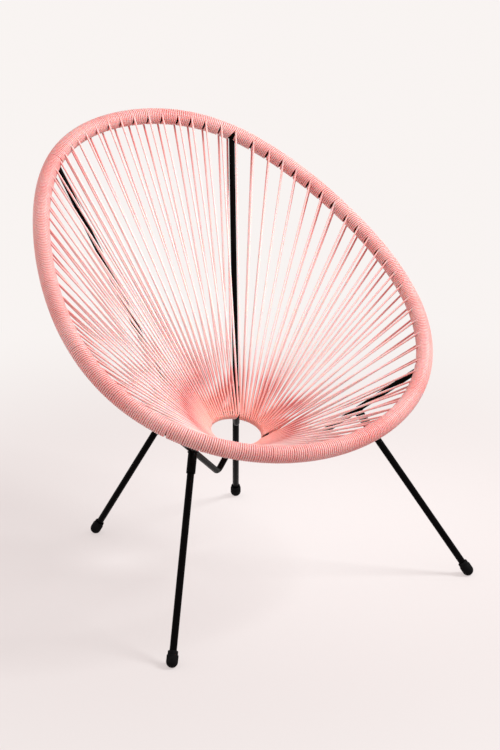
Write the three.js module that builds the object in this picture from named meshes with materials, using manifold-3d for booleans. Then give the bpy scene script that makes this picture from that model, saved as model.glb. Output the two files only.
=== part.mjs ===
// A round lounge chair strung with plastic cord. A tube bent into a leaning egg-shaped rim and a
// small seat ring are joined by four bent arms. One cord is wound round the rim, and at every
// station it runs down to the ring in front, half round the ring and back up behind, so the seat is
// a funnel of two layers of straight strands. Four legs plug into sleeves under the arms.
//
// Millimetres, +Z up, front towards -Y, left and right as seen from the front (+X is right).
// The origin is on the floor under the middle of the rim.

import * as THREE from "three";
import { mergeVertices } from "three/addons/utils/BufferGeometryUtils.js";
import Module from "manifold-3d";

// Rim, measured on the middle line of its tube.
const rimWidth = 732.9;
const rimDepth = 729.2;
const rimFrontHeight = 356.4;
const rimBackHeight = 835.1;
const rimTubeDiameter = 25;
const rimTubeWall = 1.5;
// How the egg departs from an ellipse, as shares of half its width, depth and height.
const rimWidthShares = [0.1724, 0.0364, -0.0219];
const rimDepthShares = [0.0494, -0.0084];
const rimHeightShares = [0.0312, -0.0161];

// Seat ring: a rod bent round, its back side higher than its front.
const ringOpeningDiameter = 99.2;
const ringRodDiameter = 12;
const ringHeight = 278.3;
const ringForward = 27.3;
const ringTiltDegrees = 16.6;

// Cord.
const cordDiameter = 4;
const windingGroove = 0.9;
const frontBays = 20;
const sideBays = 20;
const backBays = 15;
const baysPerSector = 5;
const ribsPerBay = 1;
const strandOffset = 2.5;
const hookOverlapDegrees = 12;

// Arms: each comes down from the rim in an upright plane through the middle of the ring, bends
// sharply and rises to the ring. The angles are from straight ahead in front, and from straight
// behind at the back.
const armRodDiameter = 12;
const armBendRadius = 20;
const frontArmDegrees = 51.6;
const frontArmRingDegrees = 42.5;
const frontBendReach = 109.3;
const frontBendHeight = 237.6;
const backArmDegrees = 32.2;
const backArmRingDegrees = 32.4;
const backBendReach = 99.4;
const backBendHeight = 248.1;
const armNotchDiameter = 17;

// Legs.
const legRodDiameter = 13.5;
const frontLegReach = 237.4;
const backLegReach = 137;
const frontFootHalfSpan = 342.7;
const frontFootForward = 343.3;
const backFootHalfSpan = 175.1;
const backFootBack = 263.5;
const legSleeveDiameter = 17.2;
const legSleeveLength = 40;
const legSleeveChamfer = 0.8;
const legSleeveStart = 3;
const legPlugDepth = 32;

// Rubber foot caps.
const footCapDiameter = 21.8;
const footCapCollarDiameter = 19;
const footCapLength = 31;
const footCapCollarLength = 8;
const footCapLip = 1.2;
const footCapFlat = 1;
const footCapFloor = 8;

// Fits.
const clearance = 0.3;
const overrun = 5;

// Facets.
const tubeSides = 8;
const rodSides = 10;
const strandSides = 4;
const turnedSides = 10;
const baysPerTubeRing = 2;
const ringSteps = 30;
const hookSteps = 5;
const bendSteps = 4;
const domeSteps = 3;
const rimSamples = 1440;

const wasm = await Module();
wasm.setup();

const rimRadius = rimTubeDiameter / 2;
const ringRodRadius = ringRodDiameter / 2;
const armRadius = armRodDiameter / 2;
const legRadius = legRodDiameter / 2;
const cordRadius = cordDiameter / 2;
const windingRadius = rimRadius + cordDiameter;
const hookRadius = ringRodRadius + cordDiameter;
const ringRadius = ringOpeningDiameter / 2 + hookRadius;
const ringCentre = new THREE.Vector3(0, -ringForward, ringHeight);
const ringTilt = THREE.MathUtils.degToRad(ringTiltDegrees);
const ringRight = new THREE.Vector3(1, 0, 0);
const ringBack = new THREE.Vector3(0, Math.cos(ringTilt), Math.sin(ringTilt));
const ringUp = new THREE.Vector3().crossVectors(ringRight, ringBack);

// A point of base moved along the given directions by the given lengths.
function offset(base, ...moves) {
  const point = base.clone();
  for (let i = 0; i < moves.length; i += 2) {
    point.addScaledVector(moves[i], moves[i + 1]);
  }
  return point;
}

// The direction from one point to another, square to an axis if one is given.
function direction(from, to, squareTo) {
  const way = to.clone().sub(from);
  if (squareTo) {
    way.addScaledVector(squareTo, -way.dot(squareTo));
  }
  return way.normalize();
}

// The rim's middle line. turn is 0 at the front, half a circle at the back.
function rimCurve(turn) {
  const [w1, w2, w3] = rimWidthShares;
  const swell = 1 + w1 * Math.cos(turn) + w2 * Math.cos(2 * turn) + w3 * Math.cos(3 * turn);
  const along = ([second, third]) =>
    (1 - third) * Math.cos(turn) + third * Math.cos(3 * turn) + second * (Math.cos(2 * turn) - 1);
  const rise = (rimBackHeight - rimFrontHeight) / 2;
  return new THREE.Vector3(
    (rimWidth / 2) * Math.sin(turn) * swell,
    (-rimDepth / 2) * along(rimDepthShares),
    (rimBackHeight + rimFrontHeight) / 2 - rise * along(rimHeightShares),
  );
}

// Lengths along the rim, so that a place on it can be given by its distance from the front.
const rimLengths = [0];
for (let i = 1; i <= rimSamples; i++) {
  const last = rimCurve((2 * Math.PI * (i - 1)) / rimSamples);
  const here = rimCurve((2 * Math.PI * i) / rimSamples);
  rimLengths.push(rimLengths[i - 1] + here.distanceTo(last));
}
const rimLength = rimLengths[rimSamples];

function rimTurn(distance) {
  const laps = Math.floor(distance / rimLength);
  const rest = distance - laps * rimLength;
  let low = 0;
  let high = rimSamples;
  while (high - low > 1) {
    const middle = (low + high) >> 1;
    if (rimLengths[middle] <= rest) {
      low = middle;
    } else {
      high = middle;
    }
  }
  const part = (rest - rimLengths[low]) / (rimLengths[low + 1] - rimLengths[low]);
  return (2 * Math.PI * (low + part)) / rimSamples + 2 * Math.PI * laps;
}

function rimPoint(distance) {
  return rimCurve(rimTurn(distance));
}

function rimTangent(distance) {
  return direction(rimPoint(distance - cordDiameter), rimPoint(distance + cordDiameter));
}

// The distance along the right half of the rim where it crosses an upright plane through the
// ring's middle, turned from straight ahead by the given angle.
function rimDistanceAt(angle) {
  let low = 0;
  let high = rimLength / 2;
  for (let i = 0; i < 50; i++) {
    const middle = (low + high) / 2;
    const point = rimPoint(middle).sub(ringCentre);
    if (Math.atan2(point.x, -point.y) < angle) {
      low = middle;
    } else {
      high = middle;
    }
  }
  return (low + high) / 2;
}

function ringOutward(angle) {
  return offset(new THREE.Vector3(), ringRight, Math.sin(angle), ringBack, -Math.cos(angle));
}

function ringPoint(angle) {
  return offset(ringCentre, ringOutward(angle), ringRadius);
}

// A closed mesh from rings of points that turn right-handed about the way they go.
function loft(rings, closed = false) {
  const sides = rings[0].length;
  const points = rings.flat();
  const faces = [];
  const last = closed ? rings.length : rings.length - 1;
  for (let i = 0; i < last; i++) {
    const a = i * sides;
    const b = ((i + 1) % rings.length) * sides;
    for (let k = 0; k < sides; k++) {
      const next = (k + 1) % sides;
      faces.push(a + k, a + next, b + next, a + k, b + next, b + k);
    }
  }
  if (!closed) {
    const end = (rings.length - 1) * sides;
    for (let k = 1; k < sides - 1; k++) {
      faces.push(0, k + 1, k, end, end + k, end + k + 1);
    }
  }
  return new THREE.BufferGeometry().setFromPoints(points).setIndex(faces);
}

// A regular outline round a centre, in the plane of u and v.
function outline(centre, u, v, radius, sides, turned = 0.5) {
  const points = [];
  for (let k = 0; k < sides; k++) {
    const angle = (2 * Math.PI * (k + turned)) / sides;
    points.push(offset(centre, u, radius * Math.cos(angle), v, radius * Math.sin(angle)));
  }
  return points;
}

function solidOf(geometry) {
  const bare = geometry.clone();
  bare.deleteAttribute("normal");
  bare.deleteAttribute("uv");
  const merged = mergeVertices(bare);
  return new wasm.Manifold(
    new wasm.Mesh({
      numProp: 3,
      vertProperties: merged.getAttribute("position").array,
      triVerts: new Uint32Array(merged.index.array),
    }),
  );
}

function geometryOf(solid) {
  const mesh = solid.getMesh();
  const geometry = new THREE.BufferGeometry();
  geometry.setAttribute("position", new THREE.BufferAttribute(mesh.vertProperties, mesh.numProp));
  geometry.setIndex(new THREE.BufferAttribute(mesh.triVerts, 1));
  const flat = geometry.toNonIndexed();
  flat.computeVertexNormals();
  return flat;
}

function grown(radius, sides) {
  return radius + clearance / Math.cos(Math.PI / sides);
}

// The corner radius of a regular outline whose corners and flats lie equally far from the circle.
function balanced(radius, sides) {
  return radius / Math.sqrt(Math.cos(Math.PI / sides));
}

// The four stretches of rim between two arms, each with its part of the ring.
const frontArmAngle = THREE.MathUtils.degToRad(frontArmDegrees);
const backArmAngle = Math.PI - THREE.MathUtils.degToRad(backArmDegrees);
const frontArmStation = rimDistanceAt(frontArmAngle);
const backArmStation = rimDistanceAt(backArmAngle);
const frontArmOnRing = THREE.MathUtils.degToRad(frontArmRingDegrees);
const backArmOnRing = Math.PI - THREE.MathUtils.degToRad(backArmRingDegrees);
const armHalfGap = (armRadius + clearance + cordRadius) / (ringRadius + ringRodRadius);
const stretches = [
  {
    name: "front",
    bays: frontBays,
    rim: [-frontArmStation, frontArmStation],
    ring: [-frontArmOnRing, frontArmOnRing],
  },
  {
    name: "right",
    bays: sideBays,
    rim: [frontArmStation, backArmStation],
    ring: [frontArmOnRing, backArmOnRing],
  },
  {
    name: "back",
    bays: backBays,
    rim: [backArmStation, rimLength - backArmStation],
    ring: [backArmOnRing, 2 * Math.PI - backArmOnRing],
  },
  {
    name: "left",
    bays: sideBays,
    rim: [rimLength - backArmStation, rimLength - frontArmStation],
    ring: [2 * Math.PI - backArmOnRing, 2 * Math.PI - frontArmOnRing],
  },
];

function stationOf(stretch, bay) {
  return THREE.MathUtils.lerp(stretch.rim[0], stretch.rim[1], bay / stretch.bays);
}

function ringAngleOf(stretch, bay) {
  const [first, last] = stretch.ring;
  return THREE.MathUtils.lerp(first + armHalfGap, last - armHalfGap, bay / stretch.bays);
}

// The section plane of the rim at a station: in points to the seat ring, and up to the sitter.
function rimFrame(distance) {
  const centre = rimPoint(distance);
  const along = rimTangent(distance);
  const stretch = stretches.find(
    ({ rim }) => wrapped(distance, rim[0]) <= rim[1] - rim[0] + clearance,
  );
  const share = wrapped(distance, stretch.rim[0]) / (stretch.rim[1] - stretch.rim[0]);
  const target = ringPoint(THREE.MathUtils.lerp(stretch.ring[0], stretch.ring[1], share));
  const inward = direction(centre, target, along);
  return { centre, along, inward, up: new THREE.Vector3().crossVectors(along, inward) };
}

function wrapped(distance, start) {
  return (((distance - start) % rimLength) + rimLength) % rimLength;
}

function rimSection(distance, radius) {
  const { centre, inward, up } = rimFrame(distance);
  return outline(centre, inward, up, radius, tubeSides, 0);
}

// Places along the rim for the tube's rings, in order from the left front arm round by the right.
const tubePlaces = stretches.flatMap((stretch) =>
  Array.from({ length: Math.ceil(stretch.bays / baysPerTubeRing) }, (_, i) =>
    stationOf(stretch, i * baysPerTubeRing),
  ),
);

// A closed sleeve round the rim's middle line.
function rimSweep(radius) {
  return loft(tubePlaces.map((distance) => rimSection(distance, radius)), true);
}

// The rim tube is bent into a ring and its two ends meet at one station, at the left front arm.
function rimTube() {
  const start = tubePlaces[0] + clearance / 2;
  const end = tubePlaces[0] + rimLength - clearance / 2;
  const places = [start, ...tubePlaces.slice(1), end];
  const outside = loft(places.map((distance) => rimSection(distance, rimRadius)));
  const beyond = [start - clearance / 2, ...tubePlaces.slice(1), end + clearance / 2];
  const bore = loft(beyond.map((distance) => rimSection(distance, rimRadius - rimTubeWall)));
  return solidOf(outside).subtract(solidOf(bore));
}

function ringSweep(radius) {
  const rings = [];
  for (let i = 0; i < ringSteps; i++) {
    const angle = (2 * Math.PI * i) / ringSteps;
    rings.push(outline(ringPoint(angle), ringUp, ringOutward(angle), radius, rodSides));
  }
  return loft(rings, true);
}

// The two ends of a strand's way, at the rim and at the ring. side is 1 in front, -1 behind.
function webLine(distance, angle, side) {
  const rim = rimPoint(distance);
  const ring = ringPoint(angle);
  const along = rimTangent(distance);
  const inward = direction(rim, ring, along);
  const rimUp = new THREE.Vector3().crossVectors(along, inward);
  const round = offset(new THREE.Vector3(), ringRight, Math.cos(angle), ringBack, Math.sin(angle));
  const outward = direction(ring, rim, round);
  const ringFace = new THREE.Vector3().crossVectors(outward, round);
  return {
    rim: offset(rim, rimUp, side * (rimRadius + cordRadius), inward, clearance),
    ring: offset(ring, ringFace, side * (ringRodRadius + cordRadius), outward, cordRadius / 2),
    outward,
    ringFace,
  };
}

function strand(distance, angle, side) {
  const { rim, ring } = webLine(distance, angle, side);
  const way = direction(rim, ring);
  const u = direction(rim, offset(rim, rimTangent(distance), 1), way);
  const v = new THREE.Vector3().crossVectors(way, u);
  const sections = [rim, ring].map((end) => outline(end, u, v, cordRadius, strandSides));
  return solidOf(loft(sections));
}

// The cord's half turns round the inner side of the ring, from the rear strands to the front ones.
function ringHooks(stretch, firstBay, lastBay) {
  const rings = [];
  const inset = clearance / 2 / ringRadius;
  const overlap = THREE.MathUtils.degToRad(hookOverlapDegrees);
  const first = ringAngleOf(stretch, firstBay) + inset;
  const last = ringAngleOf(stretch, lastBay) - inset;
  for (let i = 0; i <= 2; i++) {
    const angle = THREE.MathUtils.lerp(first, last, i / 2);
    const bay = THREE.MathUtils.lerp(firstBay, lastBay, i / 2);
    const { outward, ringFace } = webLine(stationOf(stretch, bay), angle, 1);
    const section = [];
    for (let k = 0; k <= hookSteps; k++) {
      const reach = THREE.MathUtils.lerp(-overlap, Math.PI + overlap, k / hookSteps);
      const radius = hookRadius / Math.cos(Math.PI / 2 / hookSteps);
      const way = offset(
        new THREE.Vector3(),
        ringFace,
        -Math.cos(reach) * radius,
        outward,
        -Math.sin(reach) * radius,
      );
      section.push(ringPoint(angle).add(way));
    }
    rings.push(section);
  }
  return solidOf(loft(rings));
}

// The winding from one bay to another: ribs on the outside, a groove at each station.
function winding(stretch, firstBay, lastBay) {
  const rings = [];
  const steps = 2 * ribsPerBay * (lastBay - firstBay);
  for (let i = 0; i <= steps; i++) {
    const bay = THREE.MathUtils.lerp(firstBay, lastBay, i / steps);
    const inset = i === 0 ? clearance / 2 : i === steps ? -clearance / 2 : 0;
    const radius = windingRadius - (i % 2 === 0 ? windingGroove : 0);
    rings.push(rimSection(stationOf(stretch, bay) + inset, balanced(radius, tubeSides)));
  }
  return solidOf(loft(rings));
}

// The neighbouring winding's first bay, with clearance, which this sector's strands must miss.
function besideAtRim(stretch, bay, side) {
  const pitch = (stretch.rim[1] - stretch.rim[0]) / stretch.bays;
  const rings = [];
  for (let i = 0; i <= 2; i++) {
    const way = side * (clearance / 2 + (pitch * i) / 2);
    const radius = balanced(windingRadius, tubeSides) + clearance;
    rings.push(rimSection(stationOf(stretch, bay) + way, radius));
  }
  return solidOf(loft(side > 0 ? rings : rings.reverse()));
}

// Upright plane of an arm: a point by its reach from the ring's middle and its height.
function planePoint(angle, reach, height) {
  return new THREE.Vector3(
    reach * Math.sin(angle),
    -ringForward - reach * Math.cos(angle),
    height,
  );
}

// An arm's middle line: from the rim down to its bend and up to the ring.
function armLine(arm) {
  const rimEnd = rimPoint(arm.station);
  const ringEnd = ringPoint(arm.ringAngle);
  const corner = planePoint(arm.angle, arm.bendReach, arm.bendHeight);
  const toRim = direction(corner, rimEnd);
  const toRing = direction(corner, ringEnd);
  const halfAngle = toRim.angleTo(toRing) / 2;
  const bisector = direction(corner, offset(corner, toRim, 1, toRing, 1));
  const centre = offset(corner, bisector, armBendRadius / Math.sin(halfAngle));
  const from = offset(corner, toRim, armBendRadius / Math.tan(halfAngle));
  const spoke = from.clone().sub(centre);
  const axle = new THREE.Vector3().crossVectors(toRim, toRing).normalize();
  const sweepAngle = Math.PI - 2 * halfAngle;
  const points = [rimEnd];
  for (let i = 0; i <= bendSteps; i++) {
    const turned = spoke.clone().applyAxisAngle(axle, (-sweepAngle * i) / bendSteps);
    points.push(turned.add(centre));
  }
  points.push(ringEnd);
  return { points, axle, toRim };
}

function armSweep(arm, radius) {
  const { points, axle } = armLine(arm);
  const rings = points.map((point, i) => {
    const before = points[Math.max(i - 1, 0)];
    const after = points[Math.min(i + 1, points.length - 1)];
    const way = direction(before, after);
    return outline(point, axle, new THREE.Vector3().crossVectors(way, axle), radius, rodSides);
  });
  return solidOf(loft(rings));
}

// Where the turns of the winding part to let an arm through to the tube.
function armNotch(arm) {
  const { points, toRim } = armLine(arm);
  const height = 2 * windingRadius + 2 * overrun;
  const cone = new THREE.ConeGeometry(armNotchDiameter / 2, height, rodSides);
  const turn = new THREE.Quaternion().setFromUnitVectors(new THREE.Vector3(0, 1, 0), toRim);
  cone.applyQuaternion(turn);
  const middle = points[0];
  cone.translate(middle.x, middle.y, middle.z);
  return solidOf(cone);
}

const arms = [
  { end: "front", hand: "right", side: 1 },
  { end: "back", hand: "right", side: 1 },
  { end: "back", hand: "left", side: -1 },
  { end: "front", hand: "left", side: -1 },
].map(({ end, hand, side }) => {
  const front = end === "front";
  const station = front ? frontArmStation : backArmStation;
  return {
    name: `${end}_${hand}`,
    angle: side * (front ? frontArmAngle : backArmAngle),
    station: side > 0 ? station : rimLength - station,
    ringAngle: side * (front ? frontArmOnRing : backArmOnRing),
    bendReach: front ? frontBendReach : backBendReach,
    bendHeight: front ? frontBendHeight : backBendHeight,
    legReach: front ? frontLegReach : backLegReach,
    foot: front
      ? new THREE.Vector3(side * frontFootHalfSpan, -frontFootForward, 0)
      : new THREE.Vector3(side * backFootHalfSpan, backFootBack, 0),
  };
});

const rimClear = solidOf(rimSweep(grown(rimRadius, tubeSides)));
const ringClear = solidOf(ringSweep(grown(ringRodRadius, rodSides)));
const armsClear = arms.map((arm) => armSweep(arm, grown(armRadius, rodSides)).add(armNotch(arm)));

// One sector of the cord: the winding of a few bays, their strands and their turns on the ring.
function cordSector(stretch, firstBay) {
  const lastBay = Math.min(firstBay + baysPerSector, stretch.bays);
  let sector = winding(stretch, firstBay, lastBay).add(ringHooks(stretch, firstBay, lastBay));
  const besideArm = armRadius + cordDiameter - clearance;
  for (let bay = firstBay; bay < lastBay; bay++) {
    const angle = ringAngleOf(stretch, bay + 0.5);
    const rear = stationOf(stretch, bay) + (bay === 0 ? besideArm : strandOffset);
    const last = bay + 1 === stretch.bays;
    const front = stationOf(stretch, bay + 1) - (last ? besideArm : strandOffset);
    sector = sector.add(strand(rear, angle, -1)).add(strand(front, angle, 1));
  }
  for (const [bay, side] of [[firstBay, -1], [lastBay, 1]]) {
    sector = sector.subtract(besideAtRim(stretch, bay, side));
  }
  sector = sector.subtract(rimClear).subtract(ringClear);
  for (const clear of armsClear) {
    sector = sector.subtract(clear);
  }
  return sector;
}

function lathe(profile) {
  const points = profile.map(([radius, height]) => new THREE.Vector2(radius, height));
  return new THREE.LatheGeometry(points, turnedSides);
}

// Sets a turned piece, drawn along +Y, on a leg's line: its foot at a point, its top the leg's way.
function onLeg(geometry, point, way) {
  const turn = new THREE.Quaternion().setFromUnitVectors(new THREE.Vector3(0, 1, 0), way);
  return geometry.applyQuaternion(turn).translate(point.x, point.y, point.z);
}

// The leg's line runs from its foot up to the middle of the arm.
function legLine(arm) {
  const { points } = armLine(arm);
  const [rimEnd, bendEnd] = points;
  const reachOf = (point) => Math.hypot(point.x, point.y + ringForward);
  const share = (arm.legReach - reachOf(bendEnd)) / (reachOf(rimEnd) - reachOf(bendEnd));
  const top = bendEnd.clone().lerp(rimEnd, share);
  return { top, way: direction(arm.foot, top), length: arm.foot.distanceTo(top) };
}

function legSleeve(arm) {
  const { top, way } = legLine(arm);
  const outer = legSleeveDiameter / 2;
  const bore = legRadius + clearance;
  const low = -legSleeveStart - legSleeveLength;
  const high = -legSleeveStart;
  const profile = [
    [bore, low],
    [outer - legSleeveChamfer, low],
    [outer, low + legSleeveChamfer],
    [outer, high],
    [bore, high],
    [bore, low],
  ];
  const clear = armsClear[arms.indexOf(arm)];
  return solidOf(onLeg(lathe(profile), top, way)).subtract(clear);
}

const footCapRadius = footCapDiameter / 2;

function footCapHeight(arm) {
  return (footCapRadius - footCapFlat) / legLine(arm).way.z;
}

function leg(arm) {
  const { way, length } = legLine(arm);
  const low = footCapHeight(arm) - footCapRadius + footCapFloor + clearance;
  const high = length - legSleeveStart - legSleeveLength + legPlugDepth;
  const profile = [
    [0, low],
    [legRadius, low],
    [legRadius, high],
    [0, high],
  ];
  return solidOf(onLeg(lathe(profile), arm.foot, way));
}

// A cup with a domed end, cut flat where it stands on the floor.
function footCap(arm) {
  const { way } = legLine(arm);
  const base = footCapHeight(arm);
  const top = footCapLength - footCapRadius;
  const collar = footCapCollarDiameter / 2;
  const bore = legRadius + clearance;
  const profile = [];
  for (let i = 0; i <= domeSteps; i++) {
    const angle = (Math.PI / 2) * (i / domeSteps);
    profile.push([footCapRadius * Math.sin(angle), base - footCapRadius * Math.cos(angle)]);
  }
  profile.push(
    [footCapRadius, base + top - footCapCollarLength],
    [collar, base + top - footCapCollarLength + footCapLip],
    [collar, base + top - footCapLip],
    [collar - footCapLip, base + top],
    [bore, base + top],
    [bore, base - footCapRadius + footCapFloor],
    [0, base - footCapRadius + footCapFloor],
  );
  const cap = solidOf(onLeg(lathe(profile), arm.foot, way));
  const below = new THREE.BoxGeometry(2 * footCapLength, 2 * footCapLength, footCapLength);
  below.translate(arm.foot.x, arm.foot.y, -footCapLength / 2);
  return cap.subtract(solidOf(below));
}

const paintedSteel = new THREE.MeshStandardMaterial({
  color: 0x17161a,
  roughness: 0.42,
  metalness: 0.1,
});
const pinkCord = new THREE.MeshStandardMaterial({
  color: 0xf2948f,
  roughness: 0.38,
  metalness: 0,
});
const blackRubber = new THREE.MeshStandardMaterial({
  color: 0x1a191b,
  roughness: 0.75,
  metalness: 0,
});

const chair = new THREE.Group();

function place(name, solid, material) {
  const mesh = new THREE.Mesh(geometryOf(solid), material);
  mesh.name = name;
  chair.add(mesh);
}

place("rim_tube", rimTube(), paintedSteel);
place("seat_ring", solidOf(ringSweep(ringRodRadius)), paintedSteel);
for (const arm of arms) {
  const rod = armSweep(arm, armRadius).subtract(rimClear).subtract(ringClear);
  place(`arm_${arm.name}`, rod, paintedSteel);
  place(`leg_sleeve_${arm.name}`, legSleeve(arm), paintedSteel);
  place(`leg_${arm.name}`, leg(arm), paintedSteel);
  place(`foot_cap_${arm.name}`, footCap(arm), blackRubber);
}
for (const stretch of stretches) {
  for (let bay = 0; bay < stretch.bays; bay += baysPerSector) {
    const name = `cord_${stretch.name}_${bay / baysPerSector + 1}`;
    place(name, cordSector(stretch, bay), pinkCord);
  }
}

export default chair;
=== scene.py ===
# A round lounge chair strung with pink plastic cord on a black steel frame.
# Metres, +Z up, the chair's front towards -Y.
import math
import random

import bmesh
import bpy
from mathutils import Matrix, Vector


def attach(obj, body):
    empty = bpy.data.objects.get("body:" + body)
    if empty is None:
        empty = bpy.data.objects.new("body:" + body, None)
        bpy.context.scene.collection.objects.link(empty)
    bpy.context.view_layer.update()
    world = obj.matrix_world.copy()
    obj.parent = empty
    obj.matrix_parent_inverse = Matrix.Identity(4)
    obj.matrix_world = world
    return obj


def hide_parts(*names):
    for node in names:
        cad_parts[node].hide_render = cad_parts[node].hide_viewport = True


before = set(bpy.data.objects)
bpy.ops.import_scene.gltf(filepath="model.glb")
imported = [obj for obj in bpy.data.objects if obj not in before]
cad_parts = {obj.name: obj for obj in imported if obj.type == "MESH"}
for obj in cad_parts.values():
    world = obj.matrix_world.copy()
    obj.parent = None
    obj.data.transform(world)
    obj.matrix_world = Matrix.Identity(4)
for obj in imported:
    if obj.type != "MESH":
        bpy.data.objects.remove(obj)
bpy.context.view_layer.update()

up = Vector((0, 0, 1))
rightWay = Vector((1, 0, 0))


# Shapes shared by several pieces

rimValues = {
    "width": 0.7329,
    "depth": 0.7292,
    "frontHeight": 0.3564,
    "backHeight": 0.8351,
    "tubeRadius": 0.0125,
    "widthShares": (0.1724, 0.0364, -0.0219),  # how the egg departs from an ellipse
    "depthShares": (0.0494, -0.0084),
    "heightShares": (0.0312, -0.0161),
    "samples": 1440,
    "tubeSamples": 240,
    "tubeRounding": 6,
}

ringValues = {
    "openingDiameter": 0.0992,
    "rodRadius": 0.006,
    "height": 0.2783,
    "forward": 0.0273,
    "tilt": math.radians(16.6),
    "segments": 120,
    "sides": 24,
    "weldHalfWidth": 0.002,
    "weldHeight": 0.0005,
}

cordValues = {
    "radius": 0.002,
    "bays": {"front": 20, "right": 20, "back": 15, "left": 23},
    "pieces": {"front": 4, "right": 4, "back": 3, "left": 4},  # objects that each stretch is made of
    "pitch": 0.00405,  # how far apart the turns round the rim lie
    "stepsPerTurn": 20,
    "hookSteps": 12,
    "sides": 8,
    "besideArm": {  # from an arm along the rim to the station that it parts
        "front_right": 0.0082, "back_right": -0.0068, "back_left": 0.0040, "front_left": 0.0042,
    },
    "notchMiddle": math.radians(-7),  # where round the rim's tube an arm parts the turns
    "notchReach": math.radians(102),
    "unevenStation": 0.0015,  # how unevenly the strands sit, at most
    "unevenRim": 0.0004,
    "unevenRing": 0.0003,
    "unevenTurn": 0.00012,
    "ringLead": math.radians(5.3),  # the back's front strands reach this far over a back arm
    "strandEnd": 0.01,  # no point of a strand lies nearer to its ends
    "seed": 11,
}

ringRadius = ringValues["openingDiameter"] / 2 + ringValues["rodRadius"] + 2 * cordValues["radius"]
ringCentre = Vector((0, -ringValues["forward"], ringValues["height"]))
ringBack = Vector((0, math.cos(ringValues["tilt"]), math.sin(ringValues["tilt"])))
ringUp = rightWay.cross(ringBack)


def mixed(first, last, share):
    return first + (last - first) * share


def directionFrom(start, end, squareTo=None):
    way = end - start
    if squareTo is not None:
        way = way - squareTo * way.dot(squareTo)
    return way.normalized()


def rimCurve(turn):  # the middle line of the rim, 0 at the front
    w1, w2, w3 = rimValues["widthShares"]
    swell = 1 + w1 * math.cos(turn) + w2 * math.cos(2 * turn) + w3 * math.cos(3 * turn)

    def along(shares):
        second, third = shares
        start = (1 - third) * math.cos(turn) + third * math.cos(3 * turn)
        return start + second * (math.cos(2 * turn) - 1)

    middle = (rimValues["backHeight"] + rimValues["frontHeight"]) / 2
    rise = (rimValues["backHeight"] - rimValues["frontHeight"]) / 2
    return Vector((
        rimValues["width"] / 2 * math.sin(turn) * swell,
        -rimValues["depth"] / 2 * along(rimValues["depthShares"]),
        middle - rise * along(rimValues["heightShares"]),
    ))


rimLengths = [0.0]  # the distance from the front to each sample
for i in range(rimValues["samples"]):
    here = rimCurve(2 * math.pi * i / rimValues["samples"])
    after = rimCurve(2 * math.pi * (i + 1) / rimValues["samples"])
    rimLengths.append(rimLengths[-1] + (after - here).length)
rimLength = rimLengths[-1]


def rimPoint(distance):
    laps = math.floor(distance / rimLength)
    rest = distance - laps * rimLength
    low, high = 0, rimValues["samples"]
    while high - low > 1:
        middle = (low + high) // 2
        if rimLengths[middle] <= rest:
            low = middle
        else:
            high = middle
    part = (rest - rimLengths[low]) / (rimLengths[low + 1] - rimLengths[low])
    return rimCurve(2 * math.pi * (low + part) / rimValues["samples"])


def rimTangent(distance):
    step = 2 * cordValues["radius"]
    return directionFrom(rimPoint(distance - step), rimPoint(distance + step))


def rimDistanceAt(angle):  # where the rim crosses an upright plane through the ring's middle
    halvings = 50
    low, high = 0.0, rimLength / 2
    for _ in range(halvings):
        middle = (low + high) / 2
        point = rimPoint(middle) - ringCentre
        if math.atan2(point.x, -point.y) < angle:
            low = middle
        else:
            high = middle
    return (low + high) / 2


def ringOutward(angle):
    return rightWay * math.sin(angle) - ringBack * math.cos(angle)


def roundRingAt(angle):  # the way that the ring runs there
    return rightWay * math.cos(angle) + ringBack * math.sin(angle)


def ringPoint(angle):
    return ringCentre + ringOutward(angle) * ringRadius


# Arms and legs

armValues = {
    "radius": 0.006,
    "bendRadius": 0.020,
    "frontAngle": math.radians(51.6),
    "frontRingAngle": math.radians(42.5),
    "frontBendReach": 0.1093,
    "frontBendHeight": 0.2376,
    "backAngle": math.pi - math.radians(32.2),
    "backRingAngle": math.pi - math.radians(32.4),
    "backBendReach": 0.0994,
    "backBendHeight": 0.2481,
    "sides": 24,
    "bendSteps": 10,
    "roomForCord": 0.0003,
    "intoRim": 0.7,  # of the rim tube's radius
    "sharpFrom": 40,  # degrees
}

legValues = {
    "radius": 0.00675,
    "frontReach": 0.2374,
    "backReach": 0.137,
    "frontFoot": Vector((0.3427, -0.3433, 0)),
    "backFoot": Vector((0.1751, 0.2635, 0)),
    "sleeveRadius": 0.0086,
    "sleeveLength": 0.040,
    "sleeveStart": 0.003,
    "sleeveEdge": 0.00056,
    "plugDepth": 0.032,
    "room": 0.0003,
    "sides": 28,
    "edge": 0.0008,
    "edgeSegments": 2,
    "sharpFrom": 35,
}

frontStation = rimDistanceAt(armValues["frontAngle"])
backStation = rimDistanceAt(armValues["backAngle"])
frontOnRing = armValues["frontRingAngle"]
backOnRing = armValues["backRingAngle"]

arms = []
for end, hand, side in (
    ("front", "right", 1), ("back", "right", 1), ("back", "left", -1), ("front", "left", -1),
):
    station = frontStation if end == "front" else backStation
    onRing = frontOnRing if end == "front" else backOnRing
    foot = legValues[end + "Foot"]
    arms.append({
        "node": f"{end}_{hand}",
        "name": end.title() + hand.title(),
        "angle": side * armValues[end + "Angle"],
        "station": station if side > 0 else rimLength - station,
        "beside": cordValues["besideArm"][f"{end}_{hand}"],
        "ringAngle": side * onRing,
        "bendReach": armValues[end + "BendReach"],
        "bendHeight": armValues[end + "BendHeight"],
        "legReach": legValues[end + "Reach"],
        "foot": Vector((side * foot.x, foot.y, 0)),
    })


def reachOf(point):  # how far from the upright line through the ring's middle
    return math.hypot(point.x, point.y + ringValues["forward"])


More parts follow.
